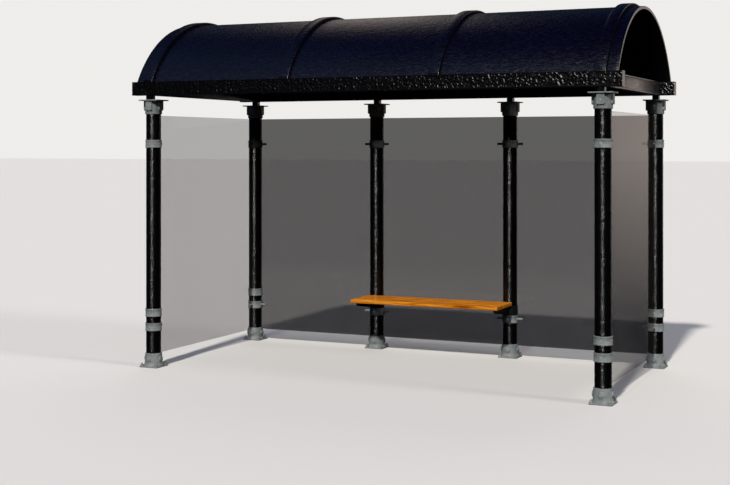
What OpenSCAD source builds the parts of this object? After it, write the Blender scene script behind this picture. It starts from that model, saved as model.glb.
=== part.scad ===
// Bus shelter: six tubular posts in cast sockets carry a beam ring and a ribbed barrel vault.
// Origin at ground level under the middle of the post rows, X along the length, Y to the rear.
// All sizes are in millimetres.

/* [Layout] */
// Distance between the end posts, centre to centre
frame_len = 3680; // [3200:10:4400]
// Distance between the front row and the rear row of posts
frame_depth = 1660; // [1400:10:2000]
// Distance between the two middle posts of the rear row
mid_pitch = 1230; // [1000:10:1400]

/* [Posts] */
// Outside diameter of the post tubes
tube_d = 120; // [100:1:140]
// Wall of the post tubes
tube_wall = 5; // [3:0.5:8]
// Height of the flange plates' undersides above the ground
post_top = 2137; // [2000:1:2400]
// Play between a tube and the castings or rings round it
tube_play = 0.3; // [0.2:0.05:0.5]

/* [Base castings] */
// Side of the square foot plate
foot_side = 166; // [156:1:200]
// Thickness of the foot plate
foot_t = 8; // [6:1:14]
// Radius of the foot plate's corners
foot_corner = 8; // [2:1:14]
// Radius of the flare where it stands on the foot plate
flare_r = 80; // [75:0.5:82]
// Height of the upright rim at the foot of the flare
flare_rim = 11; // [6:1:15]
// Height above the ground at which the flare runs out into the socket
flare_top = 46; // [38:1:56]
// How much wider the socket is at the flare than at its top
socket_draft = 3; // [0.5:0.5:5]
// Rounding of the castings' outer edges
edge_r = 2.5; // [1:0.5:4]
// Height of the base socket's top above the ground
base_h = 112; // [90:1:160]
// Wall of the base socket
base_wall = 7; // [5:0.5:12]
// Diameter of the set screw bosses on the base socket
boss_d = 44; // [24:1:50]
// How far the set screw bosses stand out from the base socket
boss_out = 7; // [3:0.5:12]
// Height of the set screw bosses above the ground
boss_z = 66; // [58:1:80]
// Diameter of the anchor bolt holes
anchor_d = 18; // [12:1:22]
// Distance from a foot plate's edge to the anchor bolt holes' centres
anchor_inset = 17; // [15:1:20]
// Diameter of the flat seats cut in the flare for the anchor nuts
nut_seat_d = 31; // [28:1:34]

/* [Top castings] */
// Height of the top casting below the flange plate
head_h = 107; // [80:1:140]
// Height of the plain collar below the pads
collar_h = 29; // [20:1:40]
// Wall of the top casting
head_wall = 7; // [5:0.5:12]
// Distance from the post's axis to the flat face of the pads
pad_face = 75; // [72:0.5:84]
// Width of the four flat pads
pad_w = 58; // [40:1:70]
// Radius of the pads' lower corners
pad_r = 12; // [6:1:18]
// Depth of the recess between the flange plate and the round ledge
recess_h = 9; // [5:1:14]
// Thickness of the round ledge
ledge_t = 5; // [3:0.5:8]
// How far the ledge stands out from the casting's wall
ledge_out = 8.5; // [6:0.5:10]
// Side of the square flange plate
flange_side = 172; // [160:1:200]
// Thickness of the flange plate
flange_t = 9; // [6:0.5:14]
// Side of the square neck block between flange and beam
neck_side = 54; // [40:1:60]
// Height of the neck block
neck_h = 34; // [20:1:60]

/* [Clamp rings] */
// Height of a clamp ring
ring_h = 62; // [50:1:80]
// Wall of a clamp ring between its lips
ring_wall = 4; // [3:0.5:8]
// How far the lips stand out from the ring
ring_lip = 2.5; // [1:0.5:5]
// Height of each lip
lip_h = 9; // [5:1:15]
// Distance from the top castings' undersides down to the upper rings' middle
ring_drop = 238; // [60:1:400]
// Height of the second lowest rings' middle above the ground
ring_mid_z = 437; // [400:1:520]
// Height of the lowest rings' middle above the ground
ring_low_z = 322; // [240:1:330]
// Diameter of the spigots on the rings
spigot_d = 20; // [12:1:30]
// Distance from the post's axis to a spigot's end
spigot_reach = 112; // [90:1:140]
// Width of the flat rim round a spigot's root
spigot_rim = 6; // [3:0.5:10]
// How far that rim's face stands out past the rings' lips
rim_proud = 1.2; // [0.5:0.1:4]

/* [Roof beams] */
// Height of the beams
beam_h = 108; // [90:1:140]
// Thickness of the front and rear beams
beam_t = 76; // [64:1:84]
// Distance that the beams' middles stand outside the post rows
beam_out = 28; // [10:1:34]
// Distance that the whole roof stands forward of the posts
roof_forward = 14; // [0:1:20]
// Overhang of the front and rear beams past the end posts
beam_over = 153; // [100:1:200]
// Thickness of the end beams
end_beam_t = 80; // [64:1:90]
// Height of the lips along the beams' edges
edge_lip_h = 12; // [6:1:20]
// How far the lips along the beams' edges stand out
edge_lip_out = 3; // [1:0.5:6]

/* [Vault] */
// Distance from the beams' middle lines out to the vault's skin where it sits on them
vault_set_out = 18; // [0:1:26]
// Rise of the outer skin above the beams
vault_rise = 520; // [400:1:700]
// Thickness of the vault shell
vault_t = 25; // [15:1:40]
// Overhang of the vault past the end posts
vault_over = 118; // [60:1:150]
// Width of an arch rib
rib_w = 84; // [50:1:110]
// Height of an arch rib above the vault
rib_h = 24; // [15:1:40]

/* [Bench] */
// Height of the seat above the ground
seat_z = 470; // [450:1:540]
// Thickness of the seat planks
plank_t = 30; // [20:1:45]
// Depth of the seat from its front edge to its back edge
seat_depth = 378; // [300:1:450]
// Number of seat planks
plank_count = 4; // [3:1:5]
// Gap between the planks
plank_gap = 6; // [3:1:12]
// Overhang of the seat past the middle posts' axes
seat_over = 42; // [20:1:100]
// Gap between the seat's back edge and the middle posts
seat_gap = 19; // [8:1:40]
// Thickness of a seat bracket's arm
arm_t = 12; // [8:1:20]
// Depth of the arm at the post
arm_root = 74; // [60:1:90]
// Depth of the arm at its tip
arm_tip = 24; // [16:1:34]
// Distance from the arm's tip to the seat's front edge
arm_inset = 45; // [20:1:100]
// Width of the flat bar that carries the planks
bar_w = 50; // [40:1:70]
// Thickness of the flat bar that carries the planks
bar_t = 6; // [4:0.5:10]
// Wall of the clamp band round the post
band_wall = 6; // [4:0.5:10]

/* [Hidden] */
$fn = 96;

// How far a cut runs past the face that it opens
cut_over = 1;

// Post places
end_x = frame_len / 2;
mid_x = mid_pitch / 2;
row_y = frame_depth / 2;
front_left = [-end_x, -row_y];
front_right = [end_x, -row_y];
rear_left = [-end_x, row_y];
rear_right = [end_x, row_y];
mid_left = [-mid_x, row_y];
mid_right = [mid_x, row_y];

// Radii round the tubes, and the height of the upper rings
tube_r = tube_d / 2;
socket_r = tube_r + tube_play;
base_r = socket_r + base_wall;
head_r = socket_r + head_wall;
ring_r = socket_r + ring_wall;
lip_r = ring_r + ring_lip;
ledge_r = head_r + ledge_out;
ring_top_z = post_top - head_h - ring_drop;

// Roof levels and lines
beam_z = post_top + flange_t + neck_h;
roof_z = beam_z + beam_h;
beam_len = frame_len + 2 * beam_over;
beam_y = row_y + beam_out;
beam_inner_y = beam_y - beam_t / 2;
beam_outer_y = beam_y + beam_t / 2;
vault_half = beam_y + vault_set_out;
vault_r = (pow(vault_half, 2) + pow(vault_rise, 2)) / (2 * vault_rise);
vault_centre_z = roof_z + vault_rise - vault_r;
vault_len = frame_len + 2 * vault_over;
rib_play = 0.3;

// Bench lines
seat_back_y = row_y - tube_r - seat_gap;
seat_front_y = seat_back_y - seat_depth;
seat_len = mid_pitch + 2 * seat_over;
plank_w = (seat_depth - (plank_count - 1) * plank_gap) / plank_count;
bar_z = seat_z - plank_t - bar_t;
band_r = socket_r + band_wall;
arm_tip_y = seat_front_y + arm_inset;

// Colours
black_paint = [0.04, 0.04, 0.05];
roof_black = [0.05, 0.06, 0.09];
casting_grey = [0.45, 0.51, 0.51];
varnished_wood = [0.80, 0.49, 0.16];

module at(place, z = 0) {
    translate([place[0], place[1], z]) children();
}

module tube_hole(from_z, to_z) {
    translate([0, 0, from_z]) cylinder(r = socket_r, h = to_z - from_z);
}

// Post tube, open at both ends, standing on the foot plate under the flange plate
module post(place) {
    color(black_paint) at(place, foot_t)
        difference() {
            cylinder(r = tube_r, h = post_top - foot_t);
            translate([0, 0, -cut_over])
                cylinder(r = tube_r - tube_wall, h = post_top - foot_t + 2 * cut_over);
        }
}

// Foot plate with rounded corners
module foot_plate() {
    half = foot_side / 2;
    inner = half - foot_corner;
    linear_extrude(foot_t) {
        square([foot_side, 2 * inner], center = true);
        square([2 * inner, foot_side], center = true);
        for (x = [-inner, inner], y = [-inner, inner])
            translate([x, y]) circle(foot_corner);
    }
}

// Half outline of the casting above the plate: upright rim, hollow flare and tapered socket
function base_outline() =
    let (
        rim_z = foot_t + flare_rim,
        flare_in = flare_r - edge_r,
        run = flare_in - base_r - socket_draft
    )
    concat(
        [[0, foot_t], [flare_r, foot_t]],
        [for (turn = [0:30:90]) [flare_in + edge_r * cos(turn), rim_z - edge_r + edge_r * sin(turn)]],
        [for (turn = [15:15:90]) [flare_in - run * sin(turn), flare_top - (flare_top - rim_z) * cos(turn)]],
        [for (turn = [0:30:90]) [base_r - edge_r + edge_r * cos(turn), base_h - edge_r + edge_r * sin(turn)]],
        [[0, base_h]]
    );

// Four bosses with their axes along X and Y
module socket_bosses() {
    boss_x = base_r + boss_out;
    for (turn = [0:90:270])
        rotate([0, 0, turn])
            translate([0, 0, boss_z])
                rotate([0, 90, 0])
                    cylinder(d = boss_d, h = boss_x);
}

// Base casting: foot plate, flared socket with four set screw bosses, and seats for the anchor nuts
module base_casting(place) {
    hole_at = foot_side / 2 - anchor_inset;
    color(casting_grey) at(place)
        difference() {
            union() {
                foot_plate();
                rotate_extrude() polygon(base_outline());
                socket_bosses();
            }
            tube_hole(foot_t, base_h + cut_over);
            for (x = [-hole_at, hole_at], y = [-hole_at, hole_at])
                translate([x, y, 0]) {
                    translate([0, 0, -cut_over]) cylinder(d = anchor_d, h = foot_t + 2 * cut_over);
                    translate([0, 0, foot_t]) cylinder(d = nut_seat_d, h = flare_top - foot_t);
                }
        }
}

// Flat pad with rounded lower corners, drawn in elevation and carried out from the axis
module head_pad() {
    pad_h = head_h - collar_h;
    rotate([90, 0, 90])
        linear_extrude(pad_face) {
            translate([-pad_w / 2, pad_r]) square([pad_w, pad_h - pad_r]);
            translate([-pad_w / 2 + pad_r, 0]) square([pad_w - 2 * pad_r, 2 * pad_r]);
            for (side = [-1, 1])
                translate([side * (pad_w / 2 - pad_r), pad_r]) circle(pad_r);
        }
}

// Half outline of the top casting: rounded lower edge, wall, and the ledge under its recess
function head_outline() =
    let (ledge_z = head_h - recess_h)
    concat(
        [[0, 0]],
        [for (turn = [0:30:90]) [head_r - edge_r + edge_r * sin(turn), edge_r - edge_r * cos(turn)]],
        [
            [head_r, ledge_z - ledge_t], [ledge_r, ledge_z - ledge_t], [ledge_r, ledge_z],
            [head_r, ledge_z], [head_r, head_h], [0, head_h]
        ]
    );

// Top casting: collar, four flat pads, ledge and the square flange plate over the tube
module head_casting(place) {
    half = flange_side / 2;
    color(casting_grey) at(place, post_top - head_h) {
        difference() {
            union() {
                rotate_extrude() polygon(head_outline());
                for (turn = [0:90:270])
                    rotate([0, 0, turn]) translate([0, 0, collar_h]) head_pad();
            }
            tube_hole(-cut_over, head_h);
        }
        translate([-half, -half, head_h]) cube([flange_side, flange_side, flange_t]);
    }
}

// Neck block standing on a flange plate under the middle of the beam
module neck_block(place, line_y) {
    color(black_paint)
        translate([place[0] - neck_side / 2, line_y - neck_side / 2, post_top + flange_t])
            cube([neck_side, neck_side, neck_h]);
}

// Clamp ring with raised lips, drawn as one revolved profile
module ring_body() {
    rotate_extrude()
        polygon([
            [socket_r, 0], [lip_r, 0], [lip_r, lip_h], [ring_r, lip_h],
            [ring_r, ring_h - lip_h], [lip_r, ring_h - lip_h], [lip_r, ring_h], [socket_r, ring_h]
        ]);
}

// Spigot with its axis along X, rising from a flat-faced rim on the ring's wall
module spigot(side) {
    root = socket_r + ring_wall / 4;
    rotate([0, side * 90, 0])
        translate([0, 0, root]) {
            cylinder(d = spigot_d + 2 * spigot_rim, h = lip_r + rim_proud - root);
            cylinder(d = spigot_d, h = spigot_reach - root);
        }
}

// Ring at a post, with spigots towards the sides listed (1 for +X, -1 for -X)
module clamp_ring(place, mid_z, sides = []) {
    color(casting_grey) at(place, mid_z) {
        translate([0, 0, -ring_h / 2]) ring_body();
        for (side = sides) spigot(side);
    }
}

module ring_pair(place, sides = []) {
    clamp_ring(place, ring_mid_z);
    clamp_ring(place, ring_low_z, sides);
}

// Long beam with lips along the lower and upper edges of its outer face
module long_beam(side) {
    outline = [
        [0, 0], [beam_t, 0], [beam_t, edge_lip_h], [beam_t - edge_lip_out, edge_lip_h],
        [beam_t - edge_lip_out, beam_h - edge_lip_h / 2], [beam_t, beam_h - edge_lip_h / 2],
        [beam_t, beam_h], [0, beam_h]
    ];
    color(black_paint)
        translate([0, -roof_forward, beam_z])
            mirror([0, side < 0 ? 1 : 0, 0])
                translate([-beam_len / 2, beam_inner_y, 0])
                    rotate([90, 0, 90]) linear_extrude(beam_len) polygon(outline);
}

// Cross beam between the long beams, with lips along its outer face
module end_beam(side) {
    t = end_beam_t;
    outline = [
        [0, 0], [t, 0], [t, edge_lip_h], [t - edge_lip_out, edge_lip_h],
        [t - edge_lip_out, beam_h - edge_lip_h], [t, beam_h - edge_lip_h], [t, beam_h], [0, beam_h]
    ];
    color(black_paint)
        mirror([side < 0 ? 1 : 0, 0, 0])
            translate([end_x - t / 2, beam_inner_y - roof_forward, beam_z])
                rotate([90, 0, 0]) linear_extrude(2 * beam_inner_y) polygon(outline);
}

// Part of an arch between two radii about the vault's axis, above the beams
module arch(inner_r, outer_r, length, half_width) {
    translate([-length / 2, -roof_forward, 0])
        rotate([90, 0, 90])
            linear_extrude(length)
                intersection() {
                    translate([0, vault_centre_z])
                        difference() {
                            circle(outer_r, $fn = 180);
                            circle(inner_r, $fn = 180);
                        }
                    translate([-half_width, roof_z]) square([2 * half_width, outer_r]);
                }
}

module vault() {
    color(roof_black) arch(vault_r - vault_t, vault_r, vault_len, vault_half + cut_over);
}

module rib(x) {
    color(roof_black)
        translate([x, 0, 0])
            arch(vault_r + rib_play, vault_r + rib_play + rib_h, rib_w, beam_outer_y);
}

module planks() {
    color(varnished_wood)
        for (i = [0:plank_count - 1])
            translate([-seat_len / 2, seat_front_y + i * (plank_w + plank_gap), seat_z - plank_t])
                cube([seat_len, plank_w, plank_t]);
}

// Seat bracket: a band round the post, a tapered arm and the flat bar under the planks
module seat_bracket(place) {
    arm_len = place[1] - socket_r - band_wall / 2 - arm_tip_y;
    bar_len = seat_depth - 2 * arm_inset;
    color(black_paint) {
        at(place, bar_z - arm_root)
            difference() {
                cylinder(r = band_r, h = arm_root);
                tube_hole(-cut_over, arm_root + cut_over);
            }
        translate([place[0] - arm_t / 2, arm_tip_y, bar_z])
            rotate([90, 0, 90])
                linear_extrude(arm_t)
                    polygon([[0, 0], [arm_len, 0], [arm_len, -arm_root], [0, -arm_tip]]);
        translate([place[0] - bar_w / 2, arm_tip_y, bar_z]) cube([bar_w, bar_len, bar_t]);
    }
}

post(front_left);  // post_front_left
post(front_right);  // post_front_right
post(rear_left);  // post_rear_left
post(rear_right);  // post_rear_right
post(mid_left);  // post_mid_left
post(mid_right);  // post_mid_right
base_casting(front_left);  // base_front_left
base_casting(front_right);  // base_front_right
base_casting(rear_left);  // base_rear_left
base_casting(rear_right);  // base_rear_right
base_casting(mid_left);  // base_mid_left
base_casting(mid_right);  // base_mid_right
head_casting(front_left);  // head_front_left
head_casting(front_right);  // head_front_right
head_casting(rear_left);  // head_rear_left
head_casting(rear_right);  // head_rear_right
head_casting(mid_left);  // head_mid_left
head_casting(mid_right);  // head_mid_right
for (place = [front_left, front_right]) neck_block(place, -beam_y - roof_forward);  // neck_blocks_front
for (place = [rear_left, mid_left, mid_right, rear_right]) neck_block(place, beam_y - roof_forward);  // neck_blocks_rear
clamp_ring(front_left, ring_top_z);  // upper_ring_front_left
clamp_ring(front_right, ring_top_z);  // upper_ring_front_right
clamp_ring(rear_left, ring_top_z, [1]);  // upper_ring_rear_left
clamp_ring(rear_right, ring_top_z, [-1]);  // upper_ring_rear_right
clamp_ring(mid_left, ring_top_z, [-1, 1]);  // upper_ring_mid_left
clamp_ring(mid_right, ring_top_z, [-1, 1]);  // upper_ring_mid_right
ring_pair(front_left);  // lower_rings_front_left
ring_pair(front_right);  // lower_rings_front_right
ring_pair(rear_left, [1]);  // lower_rings_rear_left
ring_pair(rear_right, [-1]);  // lower_rings_rear_right
clamp_ring(mid_left, ring_low_z, [-1, 1]);  // lower_ring_mid_left
clamp_ring(mid_right, ring_low_z, [-1, 1]);  // lower_ring_mid_right
long_beam(-1);  // front_beam
long_beam(1);  // rear_beam
end_beam(-1);  // left_end_beam
end_beam(1);  // right_end_beam
vault();  // roof_vault
rib(-end_x);  // rib_left
rib(-mid_x);  // rib_mid_left
rib(mid_x);  // rib_mid_right
rib(end_x);  // rib_right
planks();  // seat_planks
seat_bracket(mid_left);  // seat_bracket_left
seat_bracket(mid_right);  // seat_bracket_right
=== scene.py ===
import math

import bmesh
import bpy
from mathutils import Matrix, Vector, noise


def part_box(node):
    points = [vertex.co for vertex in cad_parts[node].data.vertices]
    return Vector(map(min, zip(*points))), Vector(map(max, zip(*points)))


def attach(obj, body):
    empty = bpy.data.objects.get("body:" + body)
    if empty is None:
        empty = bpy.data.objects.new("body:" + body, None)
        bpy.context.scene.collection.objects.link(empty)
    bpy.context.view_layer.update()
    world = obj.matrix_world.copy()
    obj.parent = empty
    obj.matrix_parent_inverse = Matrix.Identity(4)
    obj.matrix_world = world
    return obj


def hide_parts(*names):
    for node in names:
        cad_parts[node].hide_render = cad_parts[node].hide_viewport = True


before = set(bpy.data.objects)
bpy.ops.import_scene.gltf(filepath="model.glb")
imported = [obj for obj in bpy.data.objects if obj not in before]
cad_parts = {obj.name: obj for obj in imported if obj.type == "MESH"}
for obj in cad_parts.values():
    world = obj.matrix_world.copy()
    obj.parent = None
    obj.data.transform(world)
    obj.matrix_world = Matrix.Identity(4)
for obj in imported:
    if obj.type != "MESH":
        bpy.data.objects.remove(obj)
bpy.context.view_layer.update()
print("shelter frame loaded,", len(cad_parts), "nodes")

cornerPosts = ["front_left", "front_right", "rear_left", "rear_right"]
middlePosts = ["mid_left", "mid_right"]
allPosts = cornerPosts + middlePosts


# The level camera: the picture's verticals are parallel, so the film is shifted and not tilted
cameraSetup = {
    "place": (4.1488, -9.7592, 1.768),
    "turnDegrees": 24.738,
    "lens": 65.0,
    "filmWidth": 36.0,
    "imageSize": (730, 485),
    "horizonRow": 146.77,
    "farLimit": 400.0,
}


def makeCamera(setup):
    camera = bpy.data.cameras.new("streetCamera")
    camera.lens = setup["lens"]
    camera.sensor_width = setup["filmWidth"]
    width, height = setup["imageSize"]
    camera.shift_y = (setup["horizonRow"] - height / 2) / width
    camera.clip_end = setup["farLimit"]
    holder = bpy.data.objects.new("streetCamera", camera)
    bpy.context.scene.collection.objects.link(holder)
    holder.location = setup["place"]
    holder.rotation_euler = (math.radians(90), 0, math.radians(setup["turnDegrees"]))
    bpy.context.scene.camera = holder


makeCamera(cameraSetup)
bpy.context.scene.view_settings.view_transform = "Standard"
print("camera placed")


# Node building
def addNode(tree, kind, values=None, **settings):
    node = tree.nodes.new("ShaderNode" + kind)
    for key, value in settings.items():
        setattr(node, key, value)
    for socket, value in (values or {}).items():
        node.inputs[socket].default_value = value
    return node


def join(tree, source, target):
    tree.links.new(source, target)


def startMaterial(name, finish):
    material = bpy.data.materials.new(name)
    material.use_nodes = True
    shader = material.node_tree.nodes["Principled BSDF"]
    shader.inputs["Specular IOR Level"].default_value = finish["specular"]
    shader.inputs["Metallic"].default_value = finish.get("metallic", 0.0)
    return material, material.node_tree, shader


# Object coordinates. A share under 1 draws the pattern out along that axis.
def stretchedPlace(tree, stretch=(1, 1, 1)):
    coordinates = addNode(tree, "TexCoord")
    mapping = addNode(tree, "Mapping", {"Scale": stretch})
    join(tree, coordinates.outputs["Object"], mapping.inputs["Vector"])
    return mapping.outputs["Vector"]


def noiseField(tree, place, scale, detail=3.0, roughness=0.55, distortion=0.0):
    field = addNode(tree, "TexNoise", {
        "Scale": scale, "Detail": detail, "Roughness": roughness, "Distortion": distortion,
    })
    join(tree, place, field.inputs["Vector"])
    return field.outputs["Fac"]


def ramp(tree, factor, stops):
    node = addNode(tree, "ValToRGB")
    elements = node.color_ramp.elements
    while len(elements) < len(stops):
        elements.new(0.5)
    for element, (position, color) in zip(elements, stops):
        element.position = position
        element.color = (*color, 1)
    join(tree, factor, node.inputs["Fac"])
    return node.outputs["Color"]


def mapRange(tree, factor, low, high, fromLow=0.0, fromHigh=1.0):
    node = addNode(tree, "MapRange", {
        "From Min": fromLow, "From Max": fromHigh, "To Min": low, "To Max": high,
    })
    join(tree, factor, node.inputs["Value"])
    return node.outputs["Result"]


def multiplyColors(tree, first, second):
    product = addNode(tree, "Mix", {0: 1.0}, data_type="RGBA", blend_type="MULTIPLY")
    join(tree, first, product.inputs[6])
    join(tree, second, product.inputs[7])
    return product.outputs[2]


def addHeights(tree, parts):
    total = None
    for field, weight in parts:
        scaled = addNode(tree, "Math", {1: weight}, operation="MULTIPLY")
        join(tree, field, scaled.inputs[0])
        if total is None:
            total = scaled.outputs[0]
            continue
        summed = addNode(tree, "Math", operation="ADD")
        join(tree, total, summed.inputs[0])
        join(tree, scaled.outputs[0], summed.inputs[1])
        total = summed.outputs[0]
    return total


# Colour from a finish's tint stops, and roughness between its two limits.
# Nearly all of a soft noise field lies between the two values of softNoise.
softNoise = (0.3, 0.7)


def colorFrom(tree, shader, finish, field):
    join(tree, ramp(tree, field, finish["tint"]), shader.inputs["Base Color"])


def roughnessFrom(tree, shader, finish, field, fieldLimits=(0.0, 1.0)):
    sheen = mapRange(tree, field, *finish["roughness"], *fieldLimits)
    join(tree, sheen, shader.inputs["Roughness"])


# Bump from several fields, each weighed by its share of the depth
def bumpFrom(tree, shader, finish, parts):
    bump = addNode(tree, "Bump", {"Strength": 1.0, "Distance": finish["depth"]})
    join(tree, addHeights(tree, parts), bump.inputs["Height"])
    join(tree, bump.outputs["Normal"], shader.inputs["Normal"])


# Thick black paint on the tubes: fine level wrinkles that break the long highlight
tubePaintFinish = {
    "specular": 0.44, "roughness": (0.16, 0.25), "stretch": (0.8, 0.8, 1.5),
    "wrinkleScale": 62.0, "grainScale": 420.0, "grainShare": 0.1, "depth": 0.0034,
    "tint": [(0.35, (0.0003, 0.0003, 0.0004)), (0.7, (0.0011, 0.0011, 0.0013))],
}


def makeTubePaint(finish):
    material, tree, shader = startMaterial("tubePaint", finish)
    place = stretchedPlace(tree, finish["stretch"])
    wrinkles = noiseField(tree, place, finish["wrinkleScale"], detail=2, roughness=0.5, distortion=0.5)
    grain = noiseField(tree, place, finish["grainScale"], detail=2)
    colorFrom(tree, shader, finish, wrinkles)
    roughnessFrom(tree, shader, finish, wrinkles, softNoise)
    bumpFrom(tree, shader, finish, [(wrinkles, 1.0), (grain, finish["grainShare"])])
    return material


# Blue-grey cast metal with a sandy grain, small lumps and warm and cool patches
castMetalFinish = {
    "specular": 0.18, "roughness": (0.5, 0.72),
    "patchScale": 26.0, "lumpScale": 104.0, "grainScale": 520.0, "grainShare": 0.35, "depth": 0.0006,
    "tint": [(0.3, (0.137, 0.17, 0.173)), (0.48, (0.214, 0.239, 0.235)), (0.72, (0.297, 0.292, 0.272))],
}


def makeCastMetal(finish):
    material, tree, shader = startMaterial("castMetal", finish)
    place = stretchedPlace(tree)
    patches = noiseField(tree, place, finish["patchScale"], detail=4, roughness=0.6)
    grain = noiseField(tree, place, finish["grainScale"], roughness=0.7)
    lumps = noiseField(tree, place, finish["lumpScale"], detail=2)
    colorFrom(tree, shader, finish, patches)
    roughnessFrom(tree, shader, finish, grain)
    bumpFrom(tree, shader, finish, [(grain, finish["grainShare"]), (lumps, 1.0)])
    return material


# Gloss black over a coarse hammered surface. The dimples are in the mesh, and the nodes add fine grain.
hammeredFinish = {
    "specular": 0.18, "roughness": (0.19, 0.27),
    "peelScale": 165.0, "grainScale": 660.0, "grainShare": 0.08, "depth": 0.0003,
    "tint": [(0.35, (0.0007, 0.0007, 0.001)), (0.7, (0.0024, 0.0024, 0.003))],
}


def makeHammeredPaint(finish):
    material, tree, shader = startMaterial("hammeredPaint", finish)
    place = stretchedPlace(tree)
    peel = noiseField(tree, place, finish["peelScale"], detail=2, roughness=0.5, distortion=0.6)
    grain = noiseField(tree, place, finish["grainScale"], detail=2)
    colorFrom(tree, shader, finish, peel)
    roughnessFrom(tree, shader, finish, peel, softNoise)
    bumpFrom(tree, shader, finish, [(peel, 1.0), (grain, finish["grainShare"])])
    return material


# Plain semi-gloss paint on the end beams and the seat brackets
smoothPaintFinish = {
    "specular": 0.5, "roughness": (0.28, 0.42),
    "stretch": (1, 0.35, 2.2), "brushScale": 34.0, "depth": 0.0003,
    "tint": [(0.35, (0.003, 0.003, 0.003)), (0.7, (0.009, 0.0085, 0.008))],
}


def makeSmoothPaint(finish):
    material, tree, shader = startMaterial("smoothPaint", finish)
    place = stretchedPlace(tree, finish["stretch"])
    brush = noiseField(tree, place, finish["brushScale"], detail=4, roughness=0.6)
    colorFrom(tree, shader, finish, brush)
    roughnessFrom(tree, shader, finish, brush, softNoise)
    bumpFrom(tree, shader, finish, [(brush, 1.0)])
    return material


# Blue-black roof skin with a leathery grain drawn out along the shelter
roofFinish = {
    "specular": 0.42, "roughness": (0.18, 0.32), "stretch": (0.42, 1, 1),
    "creaseScale": 75.0, "waveScale": 32.0, "waveShare": 0.8, "grainScale": 420.0, "grainShare": 0.05,
    "cloudScale": 5.0, "depth": 0.0018,
    "tint": [(0.35, (0.0002, 0.0003, 0.0032)), (0.68, (0.0005, 0.0007, 0.005))],
}


def makeRoofSkin(finish):
    material, tree, shader = startMaterial("roofSkin", finish)
    place = stretchedPlace(tree, finish["stretch"])
    creases = noiseField(tree, place, finish["creaseScale"], detail=2, roughness=0.5, distortion=0.8)
    waves = noiseField(tree, place, finish["waveScale"], detail=2, roughness=0.5, distortion=0.5)
    grain = noiseField(tree, place, finish["grainScale"], detail=2)
    clouds = noiseField(tree, place, finish["cloudScale"], detail=2)
    colorFrom(tree, shader, finish, clouds)
    roughnessFrom(tree, shader, finish, creases, softNoise)
    bumpFrom(tree, shader, finish, [
        (creases, 1.0), (waves, finish["waveShare"]), (grain, finish["grainShare"]),
    ])
    return material


# Matt black coat inside the vault and on the ribs' sides
liningFinish = {
    "specular": 0.06, "roughness": (0.7, 0.9), "mottleScale": 14.0, "grainScale": 240.0, "depth": 0.0006,
    "tint": [(0.35, (0.0008, 0.0008, 0.0012)), (0.7, (0.003, 0.003, 0.0038))],
}


def makeLining(finish):
    material, tree, shader = startMaterial("vaultLining", finish)
    place = stretchedPlace(tree)
    mottle = noiseField(tree, place, finish["mottleScale"], detail=4, roughness=0.6)
    grain = noiseField(tree, place, finish["grainScale"])
    colorFrom(tree, shader, finish, mottle)
    roughnessFrom(tree, shader, finish, grain)
    bumpFrom(tree, shader, finish, [(grain, 1.0)])
    return material


# Varnished orange-brown boards: figure and fibres run along the bench, and each board has its own tone
woodFinish = {
    "specular": 0.012, "roughness": (0.12, 0.2), "depth": 0.00025,
    "figureStretch": (0.07, 1, 1), "figureScale": 26.0, "figureSwirl": 1.4, "figureShare": 0.6,
    "fibreStretch": (0.02, 1, 1), "fibreScale": 190.0, "fibreShare": 0.5,
    "toneStretch": (0.3, 1, 1), "toneScale": 11.0,
    "figureTint": [(0.34, (0.36, 0.09, 0.003)), (0.45, (0.84, 0.275, 0.014)),
                   (0.57, (1.0, 0.41, 0.042)), (0.68, (0.46, 0.13, 0.005))],
    "fibreTint": [(0.38, (0.5, 0.4, 0.32)), (0.58, (1.0, 1.0, 1.0))],
    "toneTint": [(0.3, (0.88, 0.84, 0.8)), (0.7, (1.06, 1.06, 1.06))],
}


def makeVarnishedWood(finish):
    material, tree, shader = startMaterial("varnishedWood", finish)
    along = stretchedPlace(tree, finish["figureStretch"])
    figure = noiseField(tree, along, finish["figureScale"], detail=4, distortion=finish["figureSwirl"])
    thin = stretchedPlace(tree, finish["fibreStretch"])
    fibres = noiseField(tree, thin, finish["fibreScale"], roughness=0.7)
    broad = stretchedPlace(tree, finish["toneStretch"])
    tones = noiseField(tree, broad, finish["toneScale"], detail=1)
    wood = ramp(tree, figure, finish["figureTint"])
    wood = multiplyColors(tree, wood, ramp(tree, fibres, finish["fibreTint"]))
    wood = multiplyColors(tree, wood, ramp(tree, tones, finish["toneTint"]))
    join(tree, wood, shader.inputs["Base Color"])
    roughnessFrom(tree, shader, finish, fibres)
    bumpFrom(tree, shader, finish, [(figure, finish["figureShare"]), (fibres, finish["fibreShare"])])
    return material


# Galvanised fasteners
steelFinish = {
    "specular": 0.5, "metallic": 0.6, "roughness": (0.34, 0.52), "spangleScale": 160.0, "depth": 0.0003,
    "tint": [(0.3, (0.30, 0.31, 0.305)), (0.7, (0.5, 0.505, 0.49))],
}


def makeGalvanised(finish):
    material, tree, shader = startMaterial("galvanisedSteel", finish)
    spangle = noiseField(tree, stretchedPlace(tree), finish["spangleScale"], roughness=0.65)
    colorFrom(tree, shader, finish, spangle)
    roughnessFrom(tree, shader, finish, spangle)
    bumpFrom(tree, shader, finish, [(spangle, 1.0)])
    return material
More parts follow.
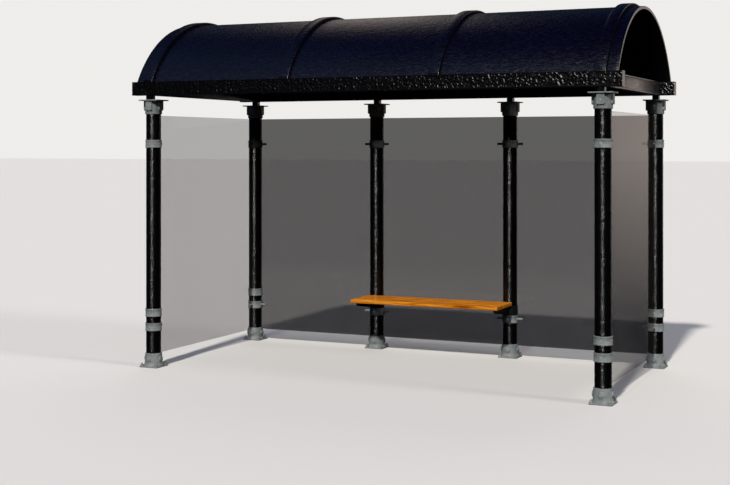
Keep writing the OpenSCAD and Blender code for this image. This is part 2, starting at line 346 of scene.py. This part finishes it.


# Smoked glass. The rear panes get a darker tint and a larger cover than the end ones, and that extra
# darkness is painted shade standing for the shade behind the rear bays. cover is the share that one face of
# a pane holds back.
glassSetup = {
    "specular": 0.5, "roughness": (0.03, 0.09), "stretch": (1, 1, 0.6), "hazeScale": 7.0, "depth": 0.0004,
    "glasses": {
        "endGlass": {
            "cover": 0.31, "tint": [(0.35, (0.024, 0.0224, 0.02)), (0.68, (0.039, 0.0364, 0.0325))],
        },
        # Rear glass: smoked like the end glass, made darker still by painted shade
        "rearGlassWithPaintedShade": {
            "cover": 0.64, "tint": [(0.35, (0.016, 0.0152, 0.0152)), (0.68, (0.026, 0.0247, 0.0247))],
        },
    },
}


def makeSmokedGlass(name, setup):
    material, tree, shader = startMaterial(name, setup)
    glass = setup["glasses"][name]
    place = stretchedPlace(tree, setup["stretch"])
    haze = noiseField(tree, place, setup["hazeScale"], detail=4, roughness=0.6)
    colorFrom(tree, shader, glass, haze)
    roughnessFrom(tree, shader, setup, haze, softNoise)
    bumpFrom(tree, shader, setup, [(haze, 1.0)])
    shader.inputs["Alpha"].default_value = glass["cover"]
    return material


tubePaint = makeTubePaint(tubePaintFinish)
castMetal = makeCastMetal(castMetalFinish)
hammeredPaint = makeHammeredPaint(hammeredFinish)
smoothPaint = makeSmoothPaint(smoothPaintFinish)
roofSkin = makeRoofSkin(roofFinish)
vaultLining = makeLining(liningFinish)
varnishedWood = makeVarnishedWood(woodFinish)
galvanised = makeGalvanised(steelFinish)
smokedGlass = {name: makeSmokedGlass(name, glassSetup) for name in glassSetup["glasses"]}
print("finishes made")


# Mesh building
def makePiece(name, points, faces, material, smoothDegrees=30):
    mesh = bpy.data.meshes.new(name)
    mesh.from_pydata(points, [], faces)
    working = bmesh.new()
    working.from_mesh(mesh)
    bmesh.ops.recalc_face_normals(working, faces=working.faces)
    working.to_mesh(mesh)
    working.free()
    mesh.materials.append(material)
    mesh.polygons.foreach_set("use_smooth", [True] * len(mesh.polygons))
    mesh.set_sharp_from_angle(angle=math.radians(smoothDegrees))
    piece = bpy.data.objects.new(name, mesh)
    bpy.context.scene.collection.objects.link(piece)
    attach(piece, "root")
    return piece


# Quads between neighbouring closed rings, each given as the same number of points
def ringFaces(ringCount, pointCount, closed=False):
    faces = []
    for i in range(ringCount if closed else ringCount - 1):
        low, high = i * pointCount, (i + 1) % ringCount * pointCount
        for j in range(pointCount):
            k = (j + 1) % pointCount
            faces.append((low + j, low + k, high + k, high + j))
    return faces


# The first and the last ring closed by one face each
def endFaces(ringCount, pointCount):
    return [list(range(start, start + pointCount)) for start in (0, (ringCount - 1) * pointCount)]


edgeAngles = (45, 30, 15)  # where a rounded edge has its stations


# Stations from low to high, close together where an edge is rounded
def edgeSteps(low, high, radius, cell):
    band = [radius * (1 - math.tan(math.radians(angle))) for angle in edgeAngles]
    count = max(1, round((high - low - 2 * radius) / cell))
    middle = [low + radius + (high - low - 2 * radius) * i / count for i in range(count + 1)]
    return [low + step for step in band] + middle + [high - step for step in reversed(band)]


# A block with rounded edges on a fine grid. relief gives how far a surface point sinks in.
def roundedBlock(low, high, radius, cells, relief=None):
    steps = [edgeSteps(low[axis], high[axis], radius, cells[axis]) for axis in range(3)]
    innerLow = [value + radius for value in low]
    innerHigh = [value - radius for value in high]
    found, points, faces = {}, [], []

    def pointAt(key):
        if key not in found:
            raw = Vector([steps[axis][key[axis]] for axis in range(3)])
            core = Vector([min(max(raw[axis], innerLow[axis]), innerHigh[axis]) for axis in range(3)])
            depth = relief(raw) if relief else 0.0
            found[key] = len(points)
            points.append(core + (raw - core).normalized() * (radius - depth))
        return found[key]

    for axis in range(3):
        across, along = (axis + 1) % 3, (axis + 2) % 3
        for side in (0, len(steps[axis]) - 1):
            for i in range(len(steps[across]) - 1):
                for j in range(len(steps[along]) - 1):
                    quad = []
                    for a, b in ((i, j), (i + 1, j), (i + 1, j + 1), (i, j + 1)):
                        key = [0, 0, 0]
                        key[axis], key[across], key[along] = side, a, b
                        quad.append(pointAt(tuple(key)))
                    faces.append(quad)
    return points, faces


# Several small closed forms gathered in one mesh
def gather(parts):
    points, faces = [], []
    for partPoints, partFaces, placing in parts:
        start = len(points)
        points += [placing @ Vector(point) for point in partPoints]
        faces += [[start + index for index in face] for face in partFaces]
    return points, faces


# Revolved form from (radius, height) stations. A side count of 6 makes a hexagon.
def turned(stations, sides):
    points = []
    for radius, height in stations:
        for i in range(sides):
            angle = 2 * math.pi * i / sides
            points.append((radius * math.cos(angle), radius * math.sin(angle), height))
    return points, ringFaces(len(stations), sides) + endFaces(len(stations), sides)


def facing(direction, place):
    return Matrix.Translation(place) @ Vector(direction).to_track_quat("Z", "Y").to_matrix().to_4x4()


def postAxis(post):
    low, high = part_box("post_" + post)
    return (low + high) / 2


# Soft unevenness between 0 and 1
def uneven(spot, scale):
    return noise.noise(spot * scale) * 0.5 + 0.5


# Tube posts with a gently uneven outside, open inside like the real tube
tubeSetup = {
    "sides": 64, "rowHeight": 0.0075, "wall": 0.005,
    "relief": 0.0015, "reliefScale": (46, 46, 44), "smoothDegrees": 35,
}


def makeTube(post, setup):
    low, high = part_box("post_" + post)
    centre = postAxis(post)
    radius = round((high.x - low.x) / 2, 3)
    rows = round((high.z - low.z) / setup["rowHeight"])
    scale = Vector(setup["reliefScale"])
    angles = [2 * math.pi * j / setup["sides"] for j in range(setup["sides"])]
    points = []
    for i in range(rows + 1):
        z = low.z + (high.z - low.z) * i / rows
        for angle in angles:
            outward = Vector((math.cos(angle), math.sin(angle), 0))
            spot = Vector((centre.x, centre.y, z)) + outward * radius
            points.append(spot - outward * setup["relief"] * uneven(spot, scale))
    inner = radius - setup["wall"]
    for z in (high.z, low.z):
        for angle in angles:
            points.append((centre.x + inner * math.cos(angle), centre.y + inner * math.sin(angle), z))
    faces = ringFaces(rows + 3, setup["sides"], closed=True)
    name = "painted_tube_" + post
    tube = makePiece(name, points, faces, tubePaint, setup["smoothDegrees"])
    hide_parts("post_" + post)


for post in allPosts:
    makeTube(post, tubeSetup)
print("tubes made")


# Castings, clamp rings, end beams and seat brackets keep their own form, with their sharp edges broken
softEdgeSetup = {
    "joinReach": 0.00002,
    "castings": {"width": 0.0016, "steps": 2, "angle": 32},
    "beams": {"width": 0.0018, "steps": 2, "angle": 40},
}


def softenEdges(node, material, edge):
    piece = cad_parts[node]
    piece.data.materials.clear()
    piece.data.materials.append(material)
    weld = piece.modifiers.new("joinCorners", "WELD")
    weld.merge_threshold = softEdgeSetup["joinReach"]
    bevel = piece.modifiers.new("brokenEdges", "BEVEL")
    bevel.width = edge["width"]
    bevel.segments = edge["steps"]
    bevel.limit_method = "ANGLE"
    bevel.angle_limit = math.radians(edge["angle"])
    piece.data.polygons.foreach_set("use_smooth", [True] * len(piece.data.polygons))


def castNodes():
    names = ["base_" + post for post in allPosts] + ["head_" + post for post in allPosts]
    names += ["upper_ring_" + post for post in allPosts]
    names += ["lower_rings_" + post for post in cornerPosts]
    return names + ["lower_ring_" + post for post in middlePosts]


for node in castNodes():
    softenEdges(node, castMetal, softEdgeSetup["castings"])
print("castings dressed")


# Long beams: hammered webs inside and outside, between a bottom lip and a top lip
longBeamSetup = {
    "bottomLip": 0.012, "topLip": 0.006, "edge": 0.0015, "bite": 0.3, "cell": 0.0035,
    "wormScale": 46.0, "wormWidth": 0.4, "wormShare": 0.65, "swirl": 0.6, "swirlScale": 0.6,
    "lumpScale": 1.7, "dimpleDepth": 0.0029, "smoothDegrees": 60, "seed": 1795679183,
}


# Worm-like crests with rounded tops over a lumpy ground: 0 on a crest, 1 in a hollow
def hammerRelief(spot, setup):
    place = spot * setup["wormScale"]
    bent = place + noise.noise_vector(place * setup["swirlScale"]) * setup["swirl"]
    crest = max(0.0, 1 - abs(noise.noise(bent)) / setup["wormWidth"])
    crest = crest * crest * (3 - 2 * crest)
    lump = min(1.0, max(0.0, noise.noise(bent * setup["lumpScale"]) + 0.5))
    share = setup["wormShare"]
    return 1 - crest * share - lump * (1 - share)


# Outline of a long beam as (distance from its inner face, height, side the hammering sinks to)
def beamOutline(deep, tall, setup):
    edge = setup["edge"]
    bite = edge * setup["bite"]
    webLow, webHigh = setup["bottomLip"], tall - setup["topLip"]
    steps = round((webHigh - webLow) / setup["cell"])
    heights = [webLow + (webHigh - webLow) * i / steps for i in range(steps + 1)]
    lower = [
        (edge, 0), (deep - edge, 0), (deep - bite, bite), (deep, edge),
        (deep, webLow - edge), (deep - bite, webLow - bite), (deep - edge, webLow),
    ]
    upper = [
        (deep - edge, webHigh), (deep, webHigh + edge), (deep, tall - edge), (deep - edge, tall),
        (edge, tall), (0, tall - edge),
    ]
    outline = [(out, z, 0) for out, z in lower] + [(deep, z, -1) for z in heights]
    outline += [(out, z, 0) for out, z in upper] + [(0, z, 1) for z in reversed(heights)]
    return outline + [(0, edge, 0)]


def makeLongBeam(node, outSide, setup):
    low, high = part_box(node)
    outline = beamOutline(high.y - low.y, high.z - low.z, setup)
    innerY = low.y if outSide > 0 else high.y
    columns = round((high.x - low.x) / setup["cell"])
    points = []
    for i in range(columns + 1):
        x = low.x + (high.x - low.x) * i / columns
        for out, z, sinking in outline:
            if sinking:
                out += sinking * setup["dimpleDepth"] * hammerRelief(Vector((x, out, z)), setup)
            points.append((x, innerY + outSide * out, low.z + z))
    faces = ringFaces(columns + 1, len(outline)) + endFaces(columns + 1, len(outline))
    name = "hammered_" + node
    beam = makePiece(name, points, faces, hammeredPaint, setup["smoothDegrees"])
    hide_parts(node)


noise.seed_set(longBeamSetup["seed"])  # noise vectors follow the clock otherwise, and the dimples move
makeLongBeam("front_beam", -1, longBeamSetup)
makeLongBeam("rear_beam", 1, longBeamSetup)


# Neck blocks under the long beams, square and hammered like them
neckSetup = {"edge": 0.002, "cell": 0.0035, "dimpleDepth": 0.0022, "smoothDegrees": 60}


def makeNeckBlocks(node, posts, setup):
    low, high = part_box(node)
    deep = high.y - low.y
    parts = []

    def relief(spot):
        return setup["dimpleDepth"] * hammerRelief(spot, longBeamSetup)

    for post in posts:
        middle = postAxis(post).x
        blockLow = (middle - deep / 2, low.y, low.z)
        blockHigh = (middle + deep / 2, high.y, high.z)
        block = roundedBlock(blockLow, blockHigh, setup["edge"], (setup["cell"],) * 3, relief)
        parts.append((*block, Matrix.Identity(4)))
    points, faces = gather(parts)
    name = "hammered_" + node
    blocks = makePiece(name, points, faces, hammeredPaint, setup["smoothDegrees"])
    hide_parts(node)


makeNeckBlocks("neck_blocks_front", ["front_left", "front_right"], neckSetup)
makeNeckBlocks("neck_blocks_rear", ["rear_left", "mid_left", "mid_right", "rear_right"], neckSetup)

for node in ["left_end_beam", "right_end_beam", "seat_bracket_left", "seat_bracket_right"]:
    softenEdges(node, smoothPaint, softEdgeSetup["beams"])
print("beams made")


# Barrel vault with a leathery, slightly uneven skin and softened rims
vaultSetup = {
    "wall": 0.025, "edge": 0.0025, "bite": 0.3, "cellAlong": 0.02, "cellAround": 0.014,
    "relief": 0.0011, "reliefScale": (16, 34, 34), "smoothDegrees": 50,
}


def vaultCircle():
    low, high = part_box("roof_vault")
    half, rise = (high.y - low.y) / 2, high.z - low.z
    radius = (half * half + rise * rise) / (2 * rise)
    return (low.y + high.y) / 2, high.z - radius, radius, low.z


# share runs from -1 at the front foot to 1 at the rear foot
def arcPoint(circle, radius, share):
    middleY, centreZ, _, footZ = circle
    angle = math.acos((footZ - centreZ) / radius) * share
    return middleY + radius * math.sin(angle), centreZ + radius * math.cos(angle)


def makeVault(setup):
    low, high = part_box("roof_vault")
    circle = vaultCircle()
    _, centreZ, radius, footZ = circle
    innerRadius = radius - setup["wall"]
    around = round(2 * math.acos((footZ - centreZ) / radius) * radius / setup["cellAround"])
    shares = [2 * i / around - 1 for i in range(around + 1)]
    along = round((high.x - low.x) / setup["cellAlong"])
    edge = setup["edge"]
    bite = edge * setup["bite"]
    stations = [(low.x, edge), (low.x + bite, bite)]
    stations += [(low.x + edge + (high.x - low.x - 2 * edge) * i / along, 0.0) for i in range(along + 1)]
    stations += [(high.x - bite, bite), (high.x, edge)]
    scale = Vector(setup["reliefScale"])
    points = []
    for x, inset in stations:
        for share in shares:
            sunk = setup["relief"] * uneven(Vector((x, *arcPoint(circle, radius, share))), scale)
            points.append((x, *arcPoint(circle, radius - inset - sunk, share)))
        for share in reversed(shares):
            points.append((x, *arcPoint(circle, innerRadius + inset, share)))
    count = 2 * (around + 1)
    faces = ringFaces(len(stations), count)
    for start in (0, (len(stations) - 1) * count):
        for j in range(around):
            faces.append((start + j, start + j + 1, start + count - 2 - j, start + count - 1 - j))
    vault = makePiece("leathery_roof_vault", points, faces, roofSkin, setup["smoothDegrees"])
    vault.data.materials.append(vaultLining)
    for i in range(len(stations) - 1):
        for j in range(around + 1, count - 1):  # the inner side
            vault.data.polygons[i * count + j].material_index = 1
    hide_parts("roof_vault")


makeVault(vaultSetup)


# Arch ribs: pressed bands with rounded shoulders, lifted off the vault's skin by a hair
ribSetup = {
    "shoulder": 0.006, "shoulderAngles": (22.5, 45, 67.5), "lift": 0.0003, "steps": 96, "smoothDegrees": 26,
}


def makeRib(node, setup):
    low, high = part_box(node)
    circle = vaultCircle()
    middleY, centreZ, vaultRadius, footZ = circle
    inner = vaultRadius + setup["lift"]
    outer = high.z - centreZ
    corner = setup["shoulder"]
    section = [(low.x, inner), (low.x, outer - corner)]
    for angle in setup["shoulderAngles"]:
        turn = math.radians(angle)
        section.append((low.x + corner * (1 - math.cos(turn)), outer - corner * (1 - math.sin(turn))))
    section.append((low.x + corner, outer))
    section += [(low.x + high.x - x, radius) for x, radius in reversed(section)]
    crease = math.asin((high.y - middleY) / outer) / math.acos((footZ - centreZ) / outer)
    steps = setup["steps"]
    shares = [-1] + [crease * (2 * i / steps - 1) for i in range(steps + 1)] + [1]
    points = []
    for share in shares:
        for x, radius in section:
            y, z = arcPoint(circle, radius, share)
            points.append((x, min(max(y, low.y), high.y), z))
    count = len(section)
    faces = ringFaces(len(shares), count) + endFaces(len(shares), count)
    rib = makePiece("pressed_" + node, points, faces, roofSkin, setup["smoothDegrees"])
    rib.data.materials.append(vaultLining)
    for i in range(len(shares) - 1):
        for j in (0, count - 2, count - 1):  # both side walls and the underside
            rib.data.polygons[i * count + j].material_index = 1
    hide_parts(node)


for node in ["rib_left", "rib_mid_left", "rib_mid_right", "rib_right"]:
    makeRib(node, ribSetup)
print("roof made")


# Four seat planks with eased edges and faintly hollow faces
plankSetup = {
    "count": 4, "gap": 0.006, "edge": 0.003, "cells": (0.03, 0.012, 0.012),
    "hollow": 0.0004, "hollowScale": (3, 40, 40), "smoothDegrees": 60,
}


def makePlanks(setup):
    low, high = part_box("seat_planks")
    count, gap = setup["count"], setup["gap"]
    wide = (high.y - low.y - (count - 1) * gap) / count
    scale = Vector(setup["hollowScale"])

    def relief(spot):
        return setup["hollow"] * uneven(spot, scale)

    for i in range(count):
        nearY = low.y + i * (wide + gap)
        plankLow, plankHigh = (low.x, nearY, low.z), (high.x, nearY + wide, high.z)
        points, faces = roundedBlock(plankLow, plankHigh, setup["edge"], setup["cells"], relief)
        name = f"seat_plank_{i + 1}"
        plank = makePiece(name, points, faces, varnishedWood, setup["smoothDegrees"])
        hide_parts("seat_planks")


makePlanks(plankSetup)
print("bench made")


# Glass panes between the posts at both ends and along the rear, held at their edges by the clamp rings.
# Those along the rear meet the rings' spigots, and the end ones get clips of the same size.
paneSetup = {
    "low": 0.1, "high": 2.02, "thick": 0.008, "fromAxis": 0.0605, "edge": 0.0015, "cell": 0.3,
    "ends": {"left_end": ("front_left", "rear_left"), "right_end": ("front_right", "rear_right")},
    "rear": {"rear_left": ("rear_left", "mid_left"), "rear_middle": ("mid_left", "mid_right"),
             "rear_right": ("mid_right", "rear_right")},
    "clipRadius": 0.01, "clipReach": 0.112, "clipEdge": 0.001, "clipSides": 24,
    "clipHeights": (0.322, 1.792),
}


# axis is 0 for a pane that runs along the shelter and 1 for one across it
def makePane(name, posts, axis, material, setup):
    first, last = (postAxis(post) for post in posts)
    low = Vector((first.x, first.y, setup["low"]))
    high = Vector((last.x, last.y, setup["high"]))
    low[axis] += setup["fromAxis"]
    high[axis] -= setup["fromAxis"]
    low[1 - axis] -= setup["thick"] / 2
    high[1 - axis] += setup["thick"] / 2
    points, faces = roundedBlock(low, high, setup["edge"], (setup["cell"],) * 3)
    makePiece("glass_pane_" + name, points, faces, material)


def makePaneClips(setup):
    radius, reach, edge = setup["clipRadius"], setup["clipReach"], setup["clipEdge"]
    stations = [(radius, setup["fromAxis"]), (radius, reach - edge), (radius - edge, reach)]
    clip = turned(stations, setup["clipSides"])
    parts = []
    for posts in setup["ends"].values():
        for post, side in zip(posts, (1, -1)):
            axis = postAxis(post)
            for height in setup["clipHeights"]:
                parts.append((*clip, facing((0, side, 0), (axis.x, axis.y, height))))
    points, faces = gather(parts)
    makePiece("end_pane_clips", points, faces, castMetal)


for name, posts in paneSetup["ends"].items():
    makePane(name, posts, 1, smokedGlass["endGlass"], paneSetup)
# The rear panes take the darker glass, whose extra darkness is painted shade
for name, posts in paneSetup["rear"].items():
    makePane(name, posts, 0, smokedGlass["rearGlassWithPaintedShade"], paneSetup)
makePaneClips(paneSetup)
print("panes made")


# Anchor bolts with washers and nuts at the corners of each foot plate. A share is of the form's own radius.
anchorSetup = {
    "inset": 0.017, "plateThick": 0.008, "turnDegrees": 37,
    "washer": {"radius": 0.0145, "thick": 0.0028, "edge": 0.0004, "sides": 24},
    "nut": {"acrossFlats": 0.024, "high": 0.013, "lowShare": 0.93, "lowRim": 0.0012,
            "topShare": 0.9, "topRim": 0.0016, "sides": 6},
    "stud": {"radius": 0.0078, "top": 0.034, "pitch": 0.002, "rootShare": 0.88, "inNutShare": 0.9,
             "tipShare": 0.7, "inNut": 0.001, "sides": 16},
}


def washerForm(washer, base):
    radius, edge, top = washer["radius"], washer["edge"], base + washer["thick"]
    return turned([
        (radius - edge, base), (radius, base + edge), (radius, top - edge), (radius - edge, top),
    ], washer["sides"])


def nutForm(nut, base):
    corner, top = nut["acrossFlats"] / math.sqrt(3), base + nut["high"]
    return turned([
        (corner * nut["lowShare"], base), (corner, base + nut["lowRim"]),
        (corner, top - nut["topRim"]), (corner * nut["topShare"], top),
    ], nut["sides"])


def studForm(stud, base):
    radius, pitch = stud["radius"], stud["pitch"]
    root = radius * stud["rootShare"]
    stations = [(radius * stud["inNutShare"], base - stud["inNut"])]
    height = base
    while height < stud["top"] - pitch:
        stations += [(root, height), (radius, height + pitch / 2)]
        height += pitch
    stations += [(root, height), (radius * stud["tipShare"], stud["top"])]
    return turned(stations, stud["sides"])


def makeAnchors(post, setup):
    low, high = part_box("base_" + post)
    washerBase = setup["plateThick"]
    nutBase = washerBase + setup["washer"]["thick"]
    studBase = nutBase + setup["nut"]["high"]
    forms = [washerForm(setup["washer"], washerBase), nutForm(setup["nut"], nutBase),
             studForm(setup["stud"], studBase)]
    parts = []
    for x in (low.x + setup["inset"], high.x - setup["inset"]):
        for y in (low.y + setup["inset"], high.y - setup["inset"]):
            turn = math.radians(setup["turnDegrees"] * len(parts))
            placing = Matrix.Translation((x, y, 0)) @ Matrix.Rotation(turn, 4, "Z")
            parts += [(*form, placing) for form in forms]
    points, faces = gather(parts)
    makePiece("anchor_bolts_" + post, points, faces, galvanised)


for post in allPosts:
    makeAnchors(post, anchorSetup)


# Socket set screws on the castings' bosses and pads and on the clamp rings, four round each post.
# A ring has none where a spigot or a pane's clip stands. A share is of the screw's radius.
setScrewSetup = {
    "castings": [{"face": 0.0743, "height": 0.066, "radius": 0.0085},
                 {"face": 0.075, "height": 2.092, "radius": 0.007}],
    "rings": {"face": 0.0643, "radius": 0.0085,
              "heights": {"upper": 1.792, "second": 0.437, "lowest": 0.322}},
    "proud": 0.0026, "foot": 0.001, "rimShare": 0.86, "rimHeight": 0.6,
    "socketShare": 0.52, "socketTaper": 0.96, "socketDepth": 0.0035, "sides": 18,
    "directions": {"right": (1, 0, 0), "left": (-1, 0, 0), "rear": (0, 1, 0), "front": (0, -1, 0)},
    "takenSides": {"rear_left": ["right", "front"], "rear_right": ["left", "front"], "front_left": ["rear"],
                   "front_right": ["rear"], "mid_left": ["left", "right"], "mid_right": ["left", "right"]},
}


def screwForm(radius, setup):
    proud, hole = setup["proud"], radius * setup["socketShare"]
    return turned([
        (radius, -setup["foot"]), (radius, proud * setup["rimHeight"]), (radius * setup["rimShare"], proud),
        (hole, proud), (hole * setup["socketTaper"], proud - setup["socketDepth"]),
    ], setup["sides"])


def makeSetScrews(post, setup):
    centre = postAxis(post)
    directions = setup["directions"]
    parts = []

    def addScrew(form, side, height, face):
        place = Vector((centre.x, centre.y, height)) + Vector(directions[side]) * face
        parts.append((*form, facing(directions[side], place)))

    for row in setup["castings"]:
        screw = screwForm(row["radius"], setup)
        for side in directions:
            addScrew(screw, side, row["height"], row["face"])
    rings = setup["rings"]
    screw = screwForm(rings["radius"], setup)
    for level, height in rings["heights"].items():
        if level == "second" and post in middlePosts:
            continue
        for side in directions:
            if level == "second" or side not in setup["takenSides"][post]:
                addScrew(screw, side, height, rings["face"])
    points, faces = gather(parts)
    makePiece("set_screws_" + post, points, faces, galvanised)


for post in allPosts:
    makeSetScrews(post, setScrewSetup)


# Bench screws through the flat bars, one each side of the arm under every plank.
# profile gives the head's stations as shares of its radius and of how far it stands proud.
benchScrewSetup = {
    "radius": 0.0065, "proud": 0.0035, "foot": 0.0006, "sides": 16,
    "profile": [(1, 0.35), (0.85, 0.75), (0.5, 1), (0.3, 1), (0.28, 0.4)],
    "aside": 0.017, "barHeight": 0.434, "places": (0.067, 0.141, 0.237, 0.310),
}


def makeBenchScrews(setup):
    radius, proud = setup["radius"], setup["proud"]
    stations = [(radius, -setup["foot"])] + [(radius * r, proud * z) for r, z in setup["profile"]]
    screw = turned(stations, setup["sides"])
    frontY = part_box("seat_planks")[0].y
    parts = []
    for post in middlePosts:
        for side in (-1, 1):
            for step in setup["places"]:
                place = (postAxis(post).x + side * setup["aside"], frontY + step, setup["barHeight"])
                parts.append((*screw, facing((0, 0, -1), place)))
    points, faces = gather(parts)
    makePiece("bench_screws", points, faces, galvanised)


makeBenchScrews(benchScrewSetup)
print("fasteners made")


# Pale floor, a high key light, a low light for the gloss, a broad fill from behind and a soft side light
stageSetup = {
    "floor": {"reach": 150.0, "below": 0.0005, "color": (0.79, 0.765, 0.725),
              "roughness": 0.85, "specular": 0.0},
    "lights": {
        "keyLight": {"right": 5.0, "height": 41.0, "spread": 3.0, "strength": 3.2,
                     "color": (1.0, 0.975, 0.94)},
        "lowLight": {"right": 5.5, "height": 14.0, "spread": 6.0, "strength": 2.0,
                     "color": (1.0, 0.98, 0.95), "seenBy": "glossy"},
        "backFill": {"right": 195.0, "height": 35.0, "spread": 60.0, "strength": 0.7,
                     "color": (0.95, 0.97, 1.0), "seenBy": "diffuse"},
        "sideLight": {"right": 86.0, "height": 20.0, "spread": 12.0, "strength": 1.2,
                      "color": (1.0, 0.97, 0.93), "seenBy": "diffuse"},
    },
}


def makeFloor(setup):
    reach = setup["reach"]
    corners = [(-reach, -reach, 0), (reach, -reach, 0), (reach, reach, 0), (-reach, reach, 0)]
    mesh = bpy.data.meshes.new("paleFloor")
    mesh.from_pydata(corners, [], [(0, 1, 2, 3)])
    material, tree, shader = startMaterial("paleFloor", setup)
    shader.inputs["Base Color"].default_value = (*setup["color"], 1)
    shader.inputs["Roughness"].default_value = setup["roughness"]
    mesh.materials.append(material)
    floor = bpy.data.objects.new("paleFloor", mesh)
    bpy.context.scene.collection.objects.link(floor)
    floor.location.z = -setup["below"]
    floor.visible_glossy = False
    floor.visible_diffuse = False


# right is the turn from straight in front towards the right, height the angle above the floor
def makeLight(name, setup):
    light = bpy.data.lights.new(name, "SUN")
    light.energy = setup["strength"]
    light.angle = math.radians(setup["spread"])
    light.color = setup["color"]
    holder = bpy.data.objects.new(name, light)
    bpy.context.scene.collection.objects.link(holder)
    right, height = math.radians(setup["right"]), math.radians(setup["height"])
    towards = Vector((
        math.sin(right) * math.cos(height), -math.cos(right) * math.cos(height), math.sin(height),
    ))
    holder.rotation_euler = towards.to_track_quat("Z", "Y").to_euler()
    holder.visible_diffuse = setup.get("seenBy", "diffuse") == "diffuse"
    holder.visible_glossy = setup.get("seenBy", "glossy") == "glossy"


# Surround: dim blue in front, dim teal behind, and two warm panels behind that the gloss picks up.
# Places are parts of a direction: up, across from left to right, and deep from front to rear.
# What is in front passes into what is behind between the two values of deep.
surroundSetup = {
    "backdrop": (0.86, 0.85, 0.83), "lowest": -0.3, "deep": (-0.2, 0.5),
    "front": [(0.0, (0.012, 0.012, 0.014)), (0.4, (0.04, 0.058, 0.11)), (0.75, (0.09, 0.13, 0.28)),
              (0.85, (0.07, 0.125, 0.27)), (0.91, (0.008, 0.015, 0.11)), (0.96, (0.003, 0.003, 0.07))],
    "behind": [(0.0, (0.012, 0.014, 0.016)), (0.5, (0.016, 0.03, 0.05)), (0.75, (0.002, 0.007, 0.038)),
               (0.9, (0.001, 0.001, 0.045))],
    "panels": {
        "right": {"across": [(0.06, 0), (0.15, 1), (0.5, 1), (0.62, 0)],
                  "up": [(-0.12, (0, 0, 0)), (0.0, (1.15, 0.96, 0.86)), (0.3, (1.0, 0.85, 0.76)),
                         (0.45, (0, 0, 0))]},
        "left": {"across": [(-0.47, 0), (-0.435, 1), (-0.385, 1), (-0.335, 0)],
                 "up": [(0.2, (0, 0, 0)), (0.35, (0.56, 0.48, 0.42)), (0.62, (0.6, 0.51, 0.44)),
                        (0.72, (0.42, 0.36, 0.32)), (0.82, (0, 0, 0))]},
    },
}


def makeSurround(setup):
    world = bpy.data.worlds.new("paleSurround")
    bpy.context.scene.world = world
    world.use_nodes = True
    tree = world.node_tree
    tree.nodes.clear()
    coordinates = addNode(tree, "TexCoord")
    split = addNode(tree, "SeparateXYZ")
    join(tree, coordinates.outputs["Generated"], split.inputs[0])
    lowest = setup["lowest"]
    heightShare = mapRange(tree, split.outputs["Z"], 0.0, 1.0, lowest, 1.0)
    acrossShare = mapRange(tree, split.outputs["X"], 0.0, 1.0, -1.0, 1.0)
    deepLow, deepHigh = setup["deep"]
    deepShare = addNode(tree, "MapRange", {"From Min": deepLow, "From Max": deepHigh},
                        interpolation_type="SMOOTHSTEP")
    join(tree, split.outputs["Y"], deepShare.inputs["Value"])
    behindShare = deepShare.outputs["Result"]

    def byHeight(stops):
        shares = [((height - lowest) / (1 - lowest), color) for height, color in stops]
        return ramp(tree, heightShare, shares)

    def scaled(color, share):
        node = addNode(tree, "VectorMath", operation="SCALE")
        join(tree, color, node.inputs[0])
        join(tree, share, node.inputs["Scale"])
        return node.outputs[0]

    def panel(part):
        across = ramp(tree, acrossShare, [((x + 1) / 2, (share,) * 3) for x, share in part["across"]])
        return scaled(scaled(byHeight(part["up"]), across), behindShare)

    sky = addNode(tree, "Mix", data_type="RGBA")
    join(tree, behindShare, sky.inputs[0])
    join(tree, byHeight(setup["front"]), sky.inputs[6])
    join(tree, byHeight(setup["behind"]), sky.inputs[7])
    total = sky.outputs[2]
    for part in setup["panels"].values():
        added = addNode(tree, "VectorMath", operation="ADD")
        join(tree, total, added.inputs[0])
        join(tree, panel(part), added.inputs[1])
        total = added.outputs[0]
    lighting = addNode(tree, "Background", {"Strength": 1.0})
    join(tree, total, lighting.inputs["Color"])
    backdrop = addNode(tree, "Background", {"Color": (*setup["backdrop"], 1), "Strength": 1.0})
    rays = addNode(tree, "LightPath")
    choice = addNode(tree, "MixShader")
    join(tree, rays.outputs["Is Camera Ray"], choice.inputs[0])
    join(tree, lighting.outputs[0], choice.inputs[1])
    join(tree, backdrop.outputs[0], choice.inputs[2])
    output = addNode(tree, "OutputWorld")
    join(tree, choice.outputs[0], output.inputs["Surface"])


makeFloor(stageSetup["floor"])
for name, lightSetup in stageSetup["lights"].items():
    makeLight(name, lightSetup)
makeSurround(surroundSetup)
print("stage lit")
